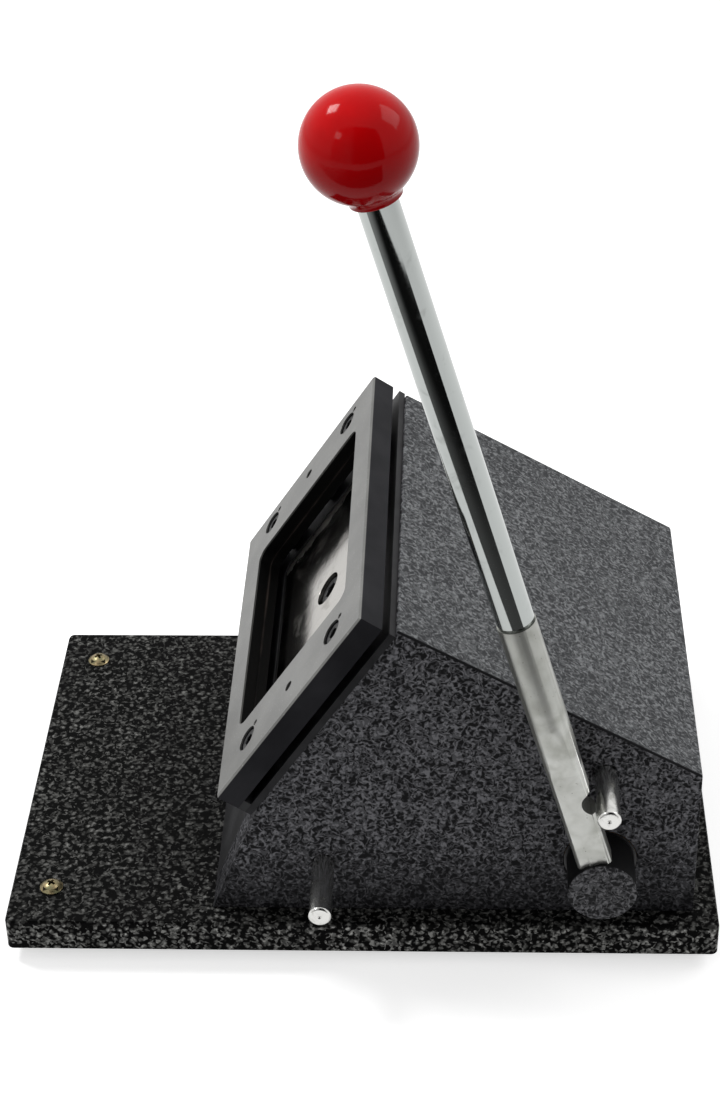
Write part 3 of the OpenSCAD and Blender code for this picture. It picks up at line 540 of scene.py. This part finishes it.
# Which finish each node of the model takes
NODE_FINISH = {
    "base_plate": "plate", "feet": "rubber", "foot_screws": "zinc", "foot_nuts": "pin",
    "rear_foot_screws": "zinc", "base_screws": "oxide", "near_wall": "housing",
    "far_wall": "housing", "roof_plate": "housing", "rear_plate": "housing",
    "front_apron": "apron", "guide_plate": "plain", "bed_plate": "bed", "sheet_stop": "dark",
    "screw_spacers": "plain", "die_block": "die", "die_screws": "oxide", "die_dowels": "oxide",
    "cross_plate": "plain", "ram_bush": "bronze", "near_shaft_bush": "bronze",
    "far_shaft_bush": "bronze", "front_stop_pin": "pin", "rear_stop_pin": "pin",
    "cam_shaft": "hub", "cam": "plain", "cam_key": "pin", "cam_screw": "oxide",
    "shaft_clip": "oxide", "lever_arm": "arm", "lever_lock_pin": "hub", "lever_rod": "chrome",
    "lever_knob": "ball", "wear_pad": "plain", "plunger": "pin", "punch_holder": "plain",
    "punch": "punch", "punch_screw": "oxide", "punch_dowels": "pin", "return_spring": "pin",
}
for node, finish in NODE_FINISH.items():
    for holder in frame["nodes"][node].material_slots:
        holder.material = FINISHES[finish].material


# ---- Pieces ----

# Corners closer than this, in metres, are one; faces that meet at more than this, in degrees,
# make a sharp edge
MERGE = 2e-6
SHARP = 28


def stand_in(name, bm, node, smooth=35):
    """Makes a piece of a bmesh, which it uses up. It takes its node's body, finish and slot."""
    bmesh.ops.recalc_face_normals(bm, faces=bm.faces)
    for face in bm.faces:
        face.smooth = True
    mesh = bpy.data.meshes.new(name)
    bm.to_mesh(mesh)
    bm.free()
    mesh.set_sharp_from_angle(angle=radians(smooth))
    piece = bpy.data.objects.new(name, mesh)
    bpy.context.scene.collection.objects.link(piece)
    piece.data.materials.append(FINISHES[NODE_FINISH[node]].material)
    even = piece.modifiers.new("even_normals", "WEIGHTED_NORMAL")
    even.keep_sharp = True
    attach(piece, frame["nodes"][node]["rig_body"])
    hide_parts(node)
    return piece


def always(edge):
    return True


def rounded(bm, width, segments=2, where=always):
    """Rounds the sharp edges that where picks, by a width in millimetres."""
    picked = [e for e in bm.edges if len(e.link_faces) == 2
              and e.calc_face_angle(0) > radians(SHARP) and where(e)]
    bmesh.ops.bevel(bm, geom=picked, offset=width * MM, offset_type="OFFSET", affect="EDGES",
                    segments=segments, profile=0.5, material=-1, clamp_overlap=True)


def eased(node, width, where=always, segments=2, shape=None, added=None):
    """A merged copy of a node with its sharp edges rounded. A mend of its shape comes first,
    and a mesh that is added to it comes last."""
    bm = bmesh.new()
    bm.from_mesh(frame["nodes"][node].data)
    bmesh.ops.remove_doubles(bm, verts=bm.verts, dist=MERGE)
    if shape:
        shape(bm)
    bmesh.ops.dissolve_limit(bm, angle_limit=radians(0.6), verts=bm.verts, edges=bm.edges)
    rounded(bm, width, segments, where)
    if added:
        bm.from_mesh(added)
    return stand_in(node + "_eased", bm, node)


def on_plane(axis, at):
    """Picks edges that lie in a plane square to an axis, at a distance in millimetres."""
    axis, reach = Vector(axis), 0.05
    return lambda edge: all(abs(v.co.dot(axis) / MM - at) < reach for v in edge.verts)


def along_y_at(*corners):
    """Picks edges that run along Y through one of these corners."""
    reach = 0.3

    def near(edge):
        return any(all((Vector((v.co.x, 0, v.co.z)) / MM - c).length < reach for v in edge.verts)
                   for c in corners)
    return near


def either(*tests):
    return lambda edge: any(test(edge) for test in tests)


def closer_corners(bm):
    """Draws the base plate's upright corners in, to half their radius."""
    low, high = box("base_plate")
    reach = PLATE_CORNER_R + 0.02
    for x in (low.x, high.x):
        for y in (low.y, high.y):
            arc_verts = [v for v in bm.verts if abs(v.co.x / MM - x) < reach
                         and abs(v.co.y / MM - y) < reach]
            corner = Matrix.Translation(Vector((-x, -y, 0)) * MM)
            bmesh.ops.scale(bm, vec=(0.5, 0.5, 1), space=corner, verts=arc_verts)


def flat_to_the_hub(bm):
    """Takes the stub's swell off the arm's two flats, where it leaves the hub."""
    start, end, least_swell = 8.5, 20, 0.005
    for side in (-1, 1):
        flat = LEVER_Y + side * ARM_T / 2
        proud = [v for v in bm.verts if side * (v.co.y / MM - flat) > least_swell
                 and start < (v.co / MM - SHAFT).dot(UP_LEVER) < end]
        bmesh.ops.scale(bm, vec=(1, 0, 1), verts=proud,
                        space=Matrix.Translation((0, -flat * MM, 0)))
    bmesh.ops.remove_doubles(bm, verts=bm.verts, dist=MERGE)
    bmesh.ops.dissolve_degenerate(bm, edges=bm.edges, dist=MERGE)


def arm_run_out():
    """Where the arm's flats run out into its round neck: a short length with sloped sides,
    which starts just under the flats and stays just under the neck."""
    start, end, under_flat, under_neck = 40, 57.4, 0.04, 0.02
    radius, clear = ARM_D / 2 - under_neck, ARM_D / 2 + 0.05
    up = Vector(UPWARDS)
    bm = bmesh.new()
    bmesh.ops.create_cone(bm, cap_ends=True, segments=96, radius1=radius * MM,
                          radius2=radius * MM, depth=(end - start) * MM)
    bmesh.ops.translate(bm, vec=up * (start + end) / 2 * MM, verts=bm.verts)
    for axis, width in ((SIDEWAYS, ARM_T), (LENGTHWAYS, ARM_W)):
        half = width / 2 - under_flat
        for side in (-1, 1):
            out = side * Vector(axis)
            slope = up * (end - start) + out * (clear - half)
            facing = out * slope.z - up * slope.dot(out)
            at = (out * half + up * start) * MM
            whole = bm.verts[:] + bm.edges[:] + bm.faces[:]
            cut = bmesh.ops.bisect_plane(bm, geom=whole, plane_co=at, plane_no=facing,
                                         clear_outer=True, dist=1e-7)
            rim = [e for e in cut["geom_cut"] if isinstance(e, bmesh.types.BMEdge)]
            bmesh.ops.holes_fill(bm, edges=rim, sides=0)
    bmesh.ops.transform(bm, matrix=LEVER_PLACE, verts=bm.verts)
    mesh = bpy.data.meshes.new("arm_run_out")
    bm.to_mesh(mesh)
    bm.free()
    return mesh


HOUSING_EDGE = 0.45
outer_corners = along_y_at(APEX, REAR_TOP)
eased("near_wall", HOUSING_EDGE, either(on_plane(SIDEWAYS, NEAR_WALL_Y), outer_corners))
eased("far_wall", HOUSING_EDGE, either(on_plane(SIDEWAYS, FAR_WALL_Y), outer_corners))
eased("roof_plate", HOUSING_EDGE, outer_corners)
eased("base_plate", 0.3, shape=closer_corners)
eased("die_block", 0.12)
eased("bed_plate", 0.2)
eased("punch", 0.12)
eased("lever_arm", 0.35, segments=3, shape=flat_to_the_hub, added=arm_run_out())
eased("cam_shaft", 0.35)
eased("feet", 0.5, segments=3)
eased("die_screws", 0.18)
eased("punch_screw", 0.25)


def arc(centre, radius, start, end, steps):
    """Points on an arc of a profile, angles in degrees from straight out."""
    angles = [radians(start + (end - start) * i / steps) for i in range(steps + 1)]
    return [(centre[0] + radius * cos(a), centre[1] + radius * sin(a)) for a in angles]


def spun(profile, steps):
    """A bmesh of a profile of radius and height in millimetres, spun once round."""
    bm = bmesh.new()
    points = [bm.verts.new((r * MM, 0, h * MM)) for r, h in profile]
    lines = [bm.edges.new(pair) for pair in zip(points, points[1:])]
    bmesh.ops.spin(bm, geom=points + lines, cent=(0, 0, 0), axis=UPWARDS, angle=2 * pi,
                   steps=steps, use_merge=True)
    bmesh.ops.remove_doubles(bm, verts=bm.verts, dist=MERGE / 2)
    return bm


def turned(name, node, profile, where, steps=96, edge=0.0, smooth=35):
    """A turned piece: a spun profile at its place, with its sharp edges rounded if edge is set."""
    bm = spun(profile, steps)
    if edge:
        rounded(bm, edge)
    bmesh.ops.transform(bm, matrix=where, verts=bm.verts)
    return stand_in(name, bm, node, smooth)


def ball():
    """The knob: a moulded ball with a short neck and a soft ring where the rod goes in."""
    radius, neck, end, bore, thread = 13.7, 6.5, -13.7, 5.05, 3.05
    thread_top, shoulder, lip = 6.85, -12.6, 0.5
    meet = -degrees(atan2(sqrt(radius ** 2 - neck ** 2), neck))
    profile = [(0, thread_top), (thread, thread_top), (thread, shoulder), (bore, shoulder),
               (bore, end + 0.1), (bore + 0.3, end), (neck - lip, end)]
    profile += arc((neck - lip, end + lip), lip, -80, 0, 5)
    profile += [(neck + 0.1, shoulder), (neck + 0.45, shoulder + 0.5)]
    profile += arc((0, 0), radius, meet + 5, 90, 60)
    profile[-1] = (0, radius)
    where = LEVER_PLACE @ Matrix.Translation((0, 0, LEVER_L * MM))
    turned("ball", "lever_knob", profile, where, steps=128, smooth=50)


def chromed_rod():
    """The rod, from its thread in the arm to its thread in the ball, undercut at the joint."""
    radius, thread, neck = 5, 3, 4.2
    foot, joint, groove, shoulder, tip = 76, 90.02, 90.7, 213.3, 232.8
    profile = [(0, foot), (thread, foot), (thread, joint), (neck, joint), (neck, groove),
               (radius - 0.2, groove), (radius, groove + 0.25), (radius, shoulder),
               (thread, shoulder), (thread, tip), (0, tip)]
    turned("chromed_rod", "lever_rod", profile, LEVER_PLACE)


def stop_pin(name, node):
    """A turned stop pin with a chamfered end and the mark of a centre drill in it."""
    radius, chamfer, mark = 3.15, 0.5, 0.55
    (low, high), at = box(node), middle(node)
    length = high.y - low.y
    profile = [(0, 0), (radius, 0), (radius, length - chamfer), (radius - chamfer, length),
               (mark, length), (mark - 0.3, length - 0.3), (0, length - 0.5)]
    where = place((at.x, high.y, at.z), (0, -1, 0), LENGTHWAYS)
    turned(name, node, profile, where, steps=64, edge=0.12)


ball()
chromed_rod()
stop_pin("front_pin", "front_stop_pin")
stop_pin("rear_pin", "rear_stop_pin")


def spring():
    """The return spring, between the wear pad and the cross plate."""
    coil, wire, start, end = 13, 1.0, 20.04, 36.98
    turns, steps = 5, 40
    bm = bmesh.new()
    ring = bmesh.ops.create_circle(bm, segments=12, radius=wire * MM)["verts"]
    bmesh.ops.rotate(bm, matrix=Matrix.Rotation(pi / 2, 3, "X"), verts=ring)
    bmesh.ops.translate(bm, vec=(coil * MM, 0, start * MM), verts=ring)
    first = bm.edges[:]
    step = (0, 0, (end - start) / (turns * steps) * MM)
    bmesh.ops.spin(bm, geom=ring + first, cent=(0, 0, 0), axis=UPWARDS, dvec=step,
                   angle=2 * pi * turns, steps=turns * steps)
    bmesh.ops.holes_fill(bm, edges=[e for e in bm.edges if e.is_boundary], sides=0)
    bmesh.ops.transform(bm, matrix=place(SHAFT, OFF_FACE, UP_SLOPE), verts=bm.verts)
    piece = stand_in("coil_spring", bm, "return_spring")
    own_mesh(piece)


spring()


def taken_out(bm, cutter):
    """A bmesh less another."""
    solids = []
    for source in (bm, cutter):
        mesh = bpy.data.meshes.new("solid")
        source.to_mesh(mesh)
        source.free()
        solids.append(bpy.data.objects.new("solid", mesh))
        bpy.context.scene.collection.objects.link(solids[-1])
    cut = solids[0].modifiers.new("cut", "BOOLEAN")
    cut.object, cut.operation, cut.solver = solids[1], "DIFFERENCE", "EXACT"
    rest = bmesh.new()
    rest.from_object(solids[0], bpy.context.evaluated_depsgraph_get())
    for solid in solids:
        bpy.data.objects.remove(solid)
    return rest


def cross_blade(width, length, depth, turn):
    """A cutter for one slot of a cross recess, narrower at its tip."""
    blade = bmesh.new()
    bmesh.ops.create_cube(blade, size=1)
    bmesh.ops.scale(blade, vec=(length * MM, width * MM, 2 * depth * MM), verts=blade.verts)
    tip = [v for v in blade.verts if v.co.z < 0]
    bmesh.ops.scale(blade, vec=(0.35, 0.7, 1), verts=tip)
    bmesh.ops.rotate(blade, matrix=Matrix.Rotation(turn, 3, "Z"), verts=blade.verts)
    return blade


def foot_screws():
    """The front feet's screws: domed heads with a cross recess, over round shanks."""
    head, height, shank, rim, dome_r = 3.3, 2.0, 2.0, 0.35, 3.9
    slot, slot_length, slot_depth = 0.95, 4.0, 1.3
    tip = box("foot_screws")[0].z - PLATE_TOP
    profile = [(0, tip), (shank, tip), (shank, 0), (head, 0), (head, rim)]
    profile += arc((0, height - dome_r), dome_r, 39, 90, 12)
    profile[-1] = (0, height)
    whole = bmesh.new()
    for side in (-1, 1):
        screw = spun(profile, 48)
        bmesh.ops.recalc_face_normals(screw, faces=screw.faces)
        for turn in (0, pi / 2):
            blade = cross_blade(slot, slot_length, slot_depth, turn + side * 0.5)
            bmesh.ops.translate(blade, vec=(0, 0, height * MM), verts=blade.verts)
            screw = taken_out(screw, blade)
        bmesh.ops.translate(screw, vec=Vector((FOOT_X, side * FOOT_Y, PLATE_TOP)) * MM,
                            verts=screw.verts)
        mesh = bpy.data.meshes.new("screw")
        screw.to_mesh(mesh)
        screw.free()
        whole.from_mesh(mesh)
    stand_in("foot_screw_heads", whole, "foot_screws", smooth=30)


foot_screws()


# ---- Studio ----

WHITE, BLACK = (1, 1, 1, 1), (0, 0, 0, 1)


def stage_plane(name, size, where, material):
    """A flat card or floor that isn't part of the cutter, size in millimetres."""
    length, width = size
    bm = bmesh.new()
    bmesh.ops.create_grid(bm, x_segments=1, y_segments=1, size=0.5)
    bmesh.ops.scale(bm, vec=(length * MM, width * MM, 1), verts=bm.verts)
    bmesh.ops.transform(bm, matrix=where, verts=bm.verts)
    mesh = bpy.data.meshes.new(name)
    bm.to_mesh(mesh)
    bm.free()
    card = bpy.data.objects.new(name, mesh)
    bpy.context.scene.collection.objects.link(card)
    card.data.materials.append(material)
    return card


def floor_finish():
    """Pale floor, lifted to the white of the backdrop for the camera and in reflections."""
    floor = Finish("floor", roughness=0.9, specular_ior_level=0.0, emission_strength=0.6)
    floor.vary("Base Color", (0.86, 0.86, 0.86, 1))
    camera_ray = floor.node("ShaderNodeLightPath", output="Is Camera Ray")
    glossy_ray = floor.node("ShaderNodeLightPath", output="Is Glossy Ray")
    lift = camera_ray.most(glossy_ray * 0.6)
    floor.vary("Emission Color", floor.mix(lift, BLACK, WHITE))
    return floor.material


def card_finish():
    """Dark studio card, which pales towards its left side and towards the cutter."""
    card = Finish("dark_card", roughness=1.0, specular_ior_level=0.0)
    fade = card.along(LENGTHWAYS).rise(-60, -420)
    near = card.along(SIDEWAYS).rise(-460, -240)
    dark = card.mix(near, tone("181818"), tone("585858"))
    card.vary("Base Color", card.mix(fade, dark, tone("d0d0d0")))
    return card.material


def dark_card(name, size, where, material):
    """A card that only shows in reflections, as a photographer sets it up beside the camera."""
    card = stage_plane(name, size, where, material)
    card.visible_camera = card.visible_diffuse = card.visible_shadow = False


stage_plane("floor", (12000, 12000), Matrix.Identity(4), floor_finish())
card_grey = card_finish()
slant = Matrix(((1, -0.85, 0, 0), (0, 1, 0, 0), (0, 0, 1, 0), (0, 0, 0, 1)))
low_place = Matrix.Translation(Vector((-55, -440, 1)) * MM) @ slant
dark_card("low_card", (900, 460), low_place, card_grey)
high_place = place((0, -1400, 1200), SIDEWAYS, LENGTHWAYS)
dark_card("high_card", (3200, 2400), high_place, card_grey)


def softbox(name, watts, size, at):
    """A square area lamp that looks at the cutter, sizes and places in millimetres."""
    lamp = bpy.data.lights.new(name, "AREA")
    lamp.shape, lamp.energy, lamp.size = "SQUARE", watts, size * MM
    holder = bpy.data.objects.new(name, lamp)
    bpy.context.scene.collection.objects.link(holder)
    aim = Vector((0, 0, 90))
    holder.location = Vector(at) * MM
    holder.rotation_euler = (Vector(at) - aim).to_track_quat("Z", "Y").to_euler()
    holder.visible_camera = False


softbox("key", watts=13, size=420, at=(-900, 470, 1400))
softbox("side", watts=6, size=800, at=(1100, 350, 1150))
softbox("front", watts=1.0, size=250, at=(-750, -800, 1000))


def room_light():
    """Dim light from all round, which the camera and reflections see as a white backdrop."""
    world = bpy.data.worlds.new("studio")
    bpy.context.scene.world = world
    sky = Shading(world)
    room = sky.node("ShaderNodeBackground", values={"Color": WHITE, "Strength": 0.4})
    backdrop = sky.node("ShaderNodeBackground", values={"Color": WHITE, "Strength": 1.0})
    camera_ray = sky.node("ShaderNodeLightPath", output="Is Camera Ray")
    glossy_ray = sky.node("ShaderNodeLightPath", output="Is Glossy Ray")
    seen = camera_ray.most(glossy_ray)
    choice = sky.node("ShaderNodeMixShader", values={0: seen, 1: room, 2: backdrop})
    sky.node("ShaderNodeOutputWorld", values={"Surface": choice})


room_light()


# ---- Camera, at the photograph's angle ----

def camera(at, pitch, yaw, roll, lens):
    """Looks down by pitch, turned to the left by yaw and rolled, all in degrees. Its place is
    in millimetres."""
    data = bpy.data.cameras.new("camera")
    data.lens, data.sensor_width = lens, 36
    holder = bpy.data.objects.new("camera", data)
    bpy.context.scene.collection.objects.link(holder)
    pitch, yaw, roll = radians(pitch), radians(yaw), radians(roll)
    up = Vector(UPWARDS)
    right = Vector((cos(yaw), sin(yaw), 0))
    level = Vector((-sin(yaw), cos(yaw), 0))
    ahead = cos(pitch) * level - sin(pitch) * up
    over = sin(pitch) * level + cos(pitch) * up
    x, y = cos(roll) * right + sin(roll) * over, cos(roll) * over - sin(roll) * right
    turn = Matrix((x, y, -ahead)).transposed().to_4x4()
    holder.matrix_world = Matrix.Translation(Vector(at) * MM) @ turn
    bpy.context.scene.camera = holder


camera(at=(26.8, -573, 477.6), pitch=33.74, yaw=2.75, roll=-1.38, lens=79.56)
bpy.context.scene.view_settings.view_transform = "Standard"
